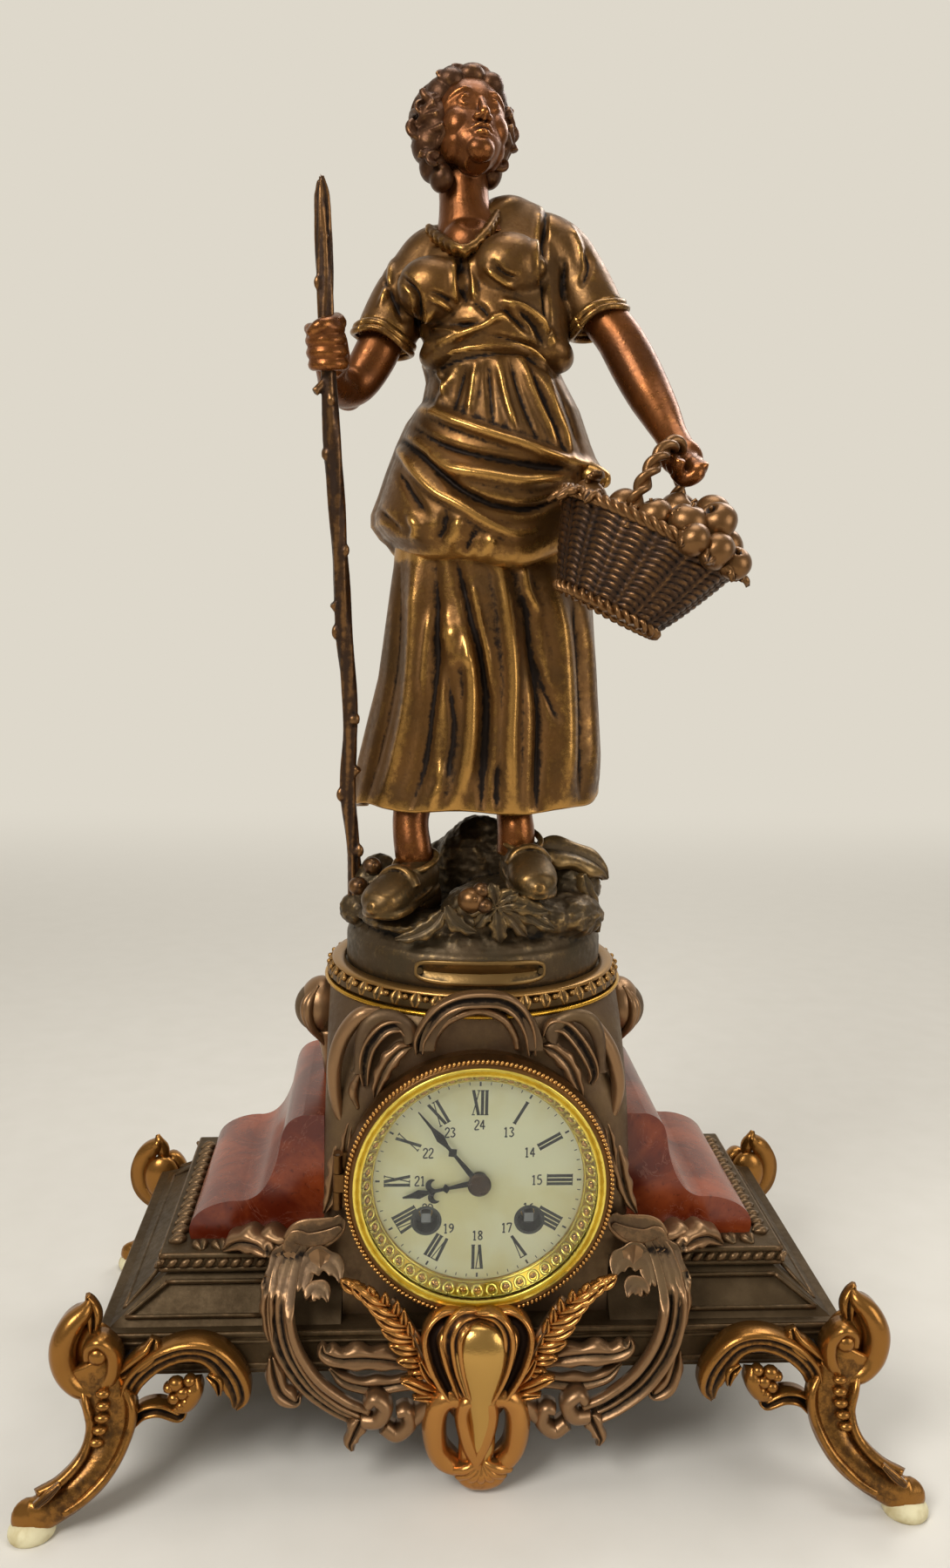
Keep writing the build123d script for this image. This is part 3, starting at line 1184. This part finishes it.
with BuildPart() as hour_hand:
    disc(0, dial_height, hand_hub_radius, hour_hand_back, hand_thickness)
    hour_plane = hand_blade(hour_reach, hour_angle, hour_hand_back, hour_edge_shares)
    wing_reach = crescent_reach_share * hour_reach
    for side in (-1, 1):
        with BuildSketch(hour_plane):
            with Locations((wing_reach, side * crescent_outer / 2)):
                Circle(crescent_outer / 2)
            with Locations((wing_reach - crescent_outer / 3, side * crescent_outer / 2)):
                Circle(crescent_inner / 2, mode=Mode.SUBTRACT)
        extrude(amount=hand_thickness)
    disc(0, dial_height, hour_tube_bore, hour_hand_back + overrun, 2 * overrun, Mode.SUBTRACT)
save(hour_hand, "hour_hand")

with BuildPart() as third_wheel:
    toothed_wheel(third_x, third_height, third_teeth, third_radius, third_wheel_back, wheel_thickness,
                  (to_escape_turn * third_teeth) % 1)
    toothed_wheel(third_x, third_height, third_pinion_leaves, third_pinion_radius, centre_wheel_back, 2 * wheel_thickness,
                  meshing_phase(third_pinion_leaves, to_third_turn + 0.5) + (to_third_turn * centre_teeth) % 1)
    disc(third_x, third_height, arbor_radius, back_plate_front - clearance, plate_gap - 2 * clearance)
    disc(third_x, third_height, pivot_radius, back_plate_back, back_plate_back - front_plate_front)
save(third_wheel, "third_wheel")

with BuildPart() as escape_wheel:
    toothed_wheel(0, escape_height, escape_teeth, escape_radius, escape_wheel_back, wheel_thickness)
    toothed_wheel(0, escape_height, escape_pinion_leaves, escape_pinion_radius, third_wheel_back + wheel_thickness / 2,
                  2 * wheel_thickness, meshing_phase(escape_pinion_leaves, to_escape_turn + 0.5))
    disc(0, escape_height, arbor_radius, back_plate_front - clearance, plate_gap - 2 * clearance)
    disc(0, escape_height, pivot_radius, back_plate_back, back_plate_back - front_plate_front)
save(escape_wheel, "escape_wheel")

# Anchor with its arbor and crutch, which straddles the pendulum rod
anchor_gap = 1.6
anchor_band = 2.2
anchor_half_turn = 38.0
anchor_hub = 2.6
crutch_drop = 26.0
crutch_width = 2.0
crutch_depth = 3.0
crutch_back = pendulum_depth - rod_radius - 2 * clearance
anchor_ring = escape_radius + anchor_gap
with BuildPart() as anchor:
    with BuildSketch(facing(escape_wheel_back)):
        with Locations((0, escape_height)):
            Circle(anchor_ring + anchor_band)
            Circle(anchor_ring, mode=Mode.SUBTRACT)
        with BuildLine():
            Polyline((0, escape_height), (-2 * anchor_ring * sin(anchor_half_turn * pi / 180),
                     escape_height + 2 * anchor_ring * cos(anchor_half_turn * pi / 180)),
                     (2 * anchor_ring * sin(anchor_half_turn * pi / 180),
                      escape_height + 2 * anchor_ring * cos(anchor_half_turn * pi / 180)), close=True)
        make_face(mode=Mode.INTERSECT)
    extrude(amount=wheel_thickness)
    disc(0, anchor_height, anchor_hub, escape_wheel_back, wheel_thickness)
    disc(0, anchor_height, pivot_radius, crutch_back, crutch_back - front_plate_front)
    with BuildSketch(facing(crutch_back)):
        with Locations((0, anchor_height)):
            Circle(anchor_hub)
        with Locations((-crutch_width, anchor_height - crutch_drop / 2)):
            Rectangle(crutch_width, crutch_drop)
        with Locations((0, anchor_height - crutch_drop)):
            Rectangle(2 * (rod_radius + clearance + crutch_width), crutch_depth)
    extrude(amount=sheet)
    prong_back = pendulum_depth + rod_radius
    with BuildSketch(facing(prong_back)):
        with Locations((-rod_radius - clearance - crutch_width / 2, anchor_height - crutch_drop),
                       (rod_radius + clearance + crutch_width / 2, anchor_height - crutch_drop)):
            Rectangle(crutch_width, crutch_depth)
    extrude(amount=prong_back - crutch_back + sheet)
save(anchor, "anchor")

# Suspension cock, spring, pendulum rod, bob and rating nut
cock_height = 8.0
cock_width = 12.0
spring_width = 4.0
spring_thickness = 0.4
spring_length = 10.0
cock_foot = anchor_height + spring_length / 2
bob_hole = rod_radius + running_fit
rod_foot = bob_height - bob_radius - 2 * rod_radius
nut_disc_radius = 3.5
nut_disc_height = 2.0
with BuildPart() as suspension_cock:
    with BuildSketch(facing(pendulum_depth + rod_radius)):
        with Locations((0, cock_foot + cock_height / 2)):
            Rectangle(cock_width, cock_height)
    extrude(amount=pendulum_depth + rod_radius - back_plate_back)
    for side in (-1, 1):
        with BuildSketch(facing(back_plate_back + plate_thickness)):
            with Locations((side * (cock_width - spring_width) / 2 * 1.6, anchor_height)):
                Rectangle(spring_width, 2 * cock_height)
        extrude(amount=plate_thickness)
save(suspension_cock, "suspension_cock")

with BuildPart() as pendulum_spring:
    with BuildSketch(Plane.XY.offset(cock_foot - spring_length)):
        with Locations((0, pendulum_depth)):
            Rectangle(spring_thickness, spring_width / 2)
    extrude(amount=spring_length - clearance)
save(pendulum_spring, "pendulum_spring")

with BuildPart() as pendulum_rod:
    with BuildSketch(Plane.XY.offset(rod_foot)):
        with Locations((0, pendulum_depth)):
            Circle(rod_radius)
    extrude(amount=cock_foot - spring_length - rod_foot)
save(pendulum_rod, "pendulum_rod")

with BuildPart() as pendulum_bob:
    ring_profile = [(0, bob_thickness / 2), (bob_radius * 0.6, bob_thickness * 0.42), (bob_radius, 0.5),
                    (bob_radius, -0.5), (bob_radius * 0.6, -bob_thickness * 0.42), (0, -bob_thickness / 2)]
    with BuildSketch(Plane(origin=(0, pendulum_depth, bob_height), x_dir=(1, 0, 0), z_dir=(0, 0, 1))):
        with BuildLine():
            Polyline(*ring_profile, close=True)
        make_face()
    revolve(axis=Axis((0, 0, bob_height), (0, 1, 0)))
    with BuildSketch(Plane.XY.offset(rod_foot - overrun)):
        with Locations((0, pendulum_depth)):
            Circle(bob_hole)
    extrude(amount=bob_height + bob_radius + 2 * overrun - rod_foot, mode=Mode.SUBTRACT)
save(pendulum_bob, "pendulum_bob")

with BuildPart() as rating_nut:
    with BuildSketch(Plane.XY.offset(bob_height - bob_radius - nut_disc_height)):
        with Locations((0, pendulum_depth)):
            Circle(nut_disc_radius)
            Circle(bob_hole, mode=Mode.SUBTRACT)
    extrude(amount=nut_disc_height)
save(rating_nut, "rating_nut")

# Bell on its stand, and the hammer
bell_wall = 1.4
bell_shares = [(1.0, 0.0), (0.97, 0.30), (0.88, 0.60), (0.72, 0.83), (0.50, 0.96), (0.30, 1.0)]
stand_radius = 2.0
stand_back = bell_mouth + bell_depth + 3 * stand_radius
bell_screw_radius = 1.5
hammer_gap = 0.4
hammer_radius = 3.5
hammer_length = 6.0
hammer_arm = 29.0
hammer_lean = -14.0
with BuildPart() as bell:
    with BuildSketch(Plane(origin=(0, 0, bell_height), x_dir=(1, 0, 0), z_dir=(0, 0, 1))):
        with BuildLine():
            Polyline(*[(bell_radius * reach, bell_mouth + bell_depth * rise) for reach, rise in bell_shares],
                     (bell_screw_radius, bell_mouth + bell_depth),
                     (bell_screw_radius, bell_mouth + bell_depth - bell_wall),
                     *[(bell_radius * reach - bell_wall, (bell_mouth + (bell_depth - bell_wall) * rise))
                       for reach, rise in reversed(bell_shares)], close=True)
        make_face()
    revolve(axis=Axis((0, 0, bell_height), (0, 1, 0)))
save(bell, "bell")

with BuildPart() as bell_stand:
    disc(bell_post_x, bell_post_height, stand_radius, stand_back, stand_back - back_plate_back)
    with BuildSketch(Plane(origin=(bell_post_x / 2, stand_back, (bell_post_height + bell_height) / 2),
                           x_dir=(bell_post_x, 0, bell_post_height - bell_height), z_dir=(0, -1, 0))) as arm:
        SlotCenterToCenter(((bell_post_height - bell_height) ** 2 + bell_post_x ** 2) ** 0.5, 2 * stand_radius)
    extrude(arm.sketch, amount=2 * stand_radius)
    disc(0, bell_height, 1.5 * stand_radius, stand_back, stand_back - bell_mouth - bell_depth)
    disc(0, bell_height, bell_screw_radius - running_fit, stand_back, stand_back - bell_mouth - bell_depth + 2 * bell_wall)
save(bell_stand, "bell_stand")

hammer_head_x = hammer_pivot_x + hammer_arm * sin(hammer_lean * pi / 180)
hammer_head_height = hammer_pivot_height - hammer_arm * cos(hammer_lean * pi / 180)
hammer_reach = ((hammer_head_x) ** 2 + (hammer_head_height - bell_height) ** 2) ** 0.5
hammer_head_radius = hammer_reach - bell_radius - hammer_gap
hammer_arbor_back = bell_mouth + hammer_length
with BuildPart() as hammer:
    disc(hammer_pivot_x, hammer_pivot_height, hammer_arbor_radius, hammer_arbor_back,
         hammer_arbor_back - back_plate_front)
    disc(hammer_head_x, hammer_head_height, hammer_head_radius, hammer_arbor_back, hammer_length)
    with BuildSketch(Plane(origin=((hammer_pivot_x + hammer_head_x) / 2, hammer_arbor_back,
                                   (hammer_pivot_height + hammer_head_height) / 2),
                           x_dir=(hammer_pivot_x - hammer_head_x, 0, hammer_pivot_height - hammer_head_height),
                           z_dir=(0, -1, 0))) as arm:
        SlotCenterToCenter(hammer_arm, 2 * hammer_arbor_radius)
    extrude(arm.sketch, amount=2 * hammer_arbor_radius)
save(hammer, "hammer")

# Rear ring, its door with a knob, and the two hinge pins
door_knuckle_x = -(door_radius + knuckle_radius + clearance)
door_back = drum_back + rear_ring_thickness + clearance + door_thickness
door_knuckle_y = drum_back + rear_ring_thickness + clearance + knuckle_radius
door_knob_radius = 3.5
door_knob_height = 5.0
door_knob_x = 41.0
with BuildPart() as rear_ring:
    disc(0, dial_height, rear_ring_radius, drum_back + rear_ring_thickness, rear_ring_thickness)
    disc(0, dial_height, rear_ring_bore, drum_back + overrun, 2 * overrun, Mode.SUBTRACT)
    for side in (-1, 1):
        with BuildSketch(Plane.XY.offset(dial_height + side * (bezel_knuckle_half + clearance))):
            with Locations((door_knuckle_x, door_knuckle_y)):
                Circle(knuckle_radius)
            with Locations((door_knuckle_x, drum_back + (rear_ring_thickness + clearance + knuckle_radius) / 2)):
                Rectangle(2 * knuckle_radius, rear_ring_thickness + clearance + knuckle_radius)
        extrude(amount=side * (seat_knuckle_reach - bezel_knuckle_half - clearance))
    with BuildSketch(Plane.XY.offset(dial_height - seat_knuckle_reach - overrun)):
        with Locations((door_knuckle_x, door_knuckle_y)):
            Circle(pivot_radius + running_fit)
    extrude(amount=2 * (seat_knuckle_reach + overrun), mode=Mode.SUBTRACT)
save(rear_ring, "rear_ring")

with BuildPart() as rear_door:
    disc(0, dial_height, door_radius, door_back, door_thickness)
    disc(door_knob_x, dial_height, door_knob_radius, door_back + door_knob_height, door_knob_height)
    with BuildSketch(Plane.XY.offset(dial_height - bezel_knuckle_half)):
        with Locations((door_knuckle_x, door_knuckle_y)):
            Circle(knuckle_radius)
        with Locations((door_knuckle_x + knuckle_radius, door_back - door_thickness / 2)):
            Rectangle(2 * knuckle_radius, door_thickness)
    extrude(amount=2 * bezel_knuckle_half)
    with BuildSketch(Plane.XY.offset(dial_height - seat_knuckle_reach)):
        with Locations((door_knuckle_x, door_knuckle_y)):
            Circle(pivot_radius + running_fit)
    extrude(amount=2 * seat_knuckle_reach, mode=Mode.SUBTRACT)
save(rear_door, "rear_door")

with BuildPart() as hinge_pins:
    for pin_x, pin_y in ((knuckle_x, knuckle_y), (door_knuckle_x, door_knuckle_y)):
        with BuildSketch(Plane.XY.offset(dial_height - seat_knuckle_reach)):
            with Locations((pin_x, pin_y)):
                Circle(pivot_radius)
        extrude(amount=2 * seat_knuckle_reach)
save(hinge_pins, "hinge_pins")
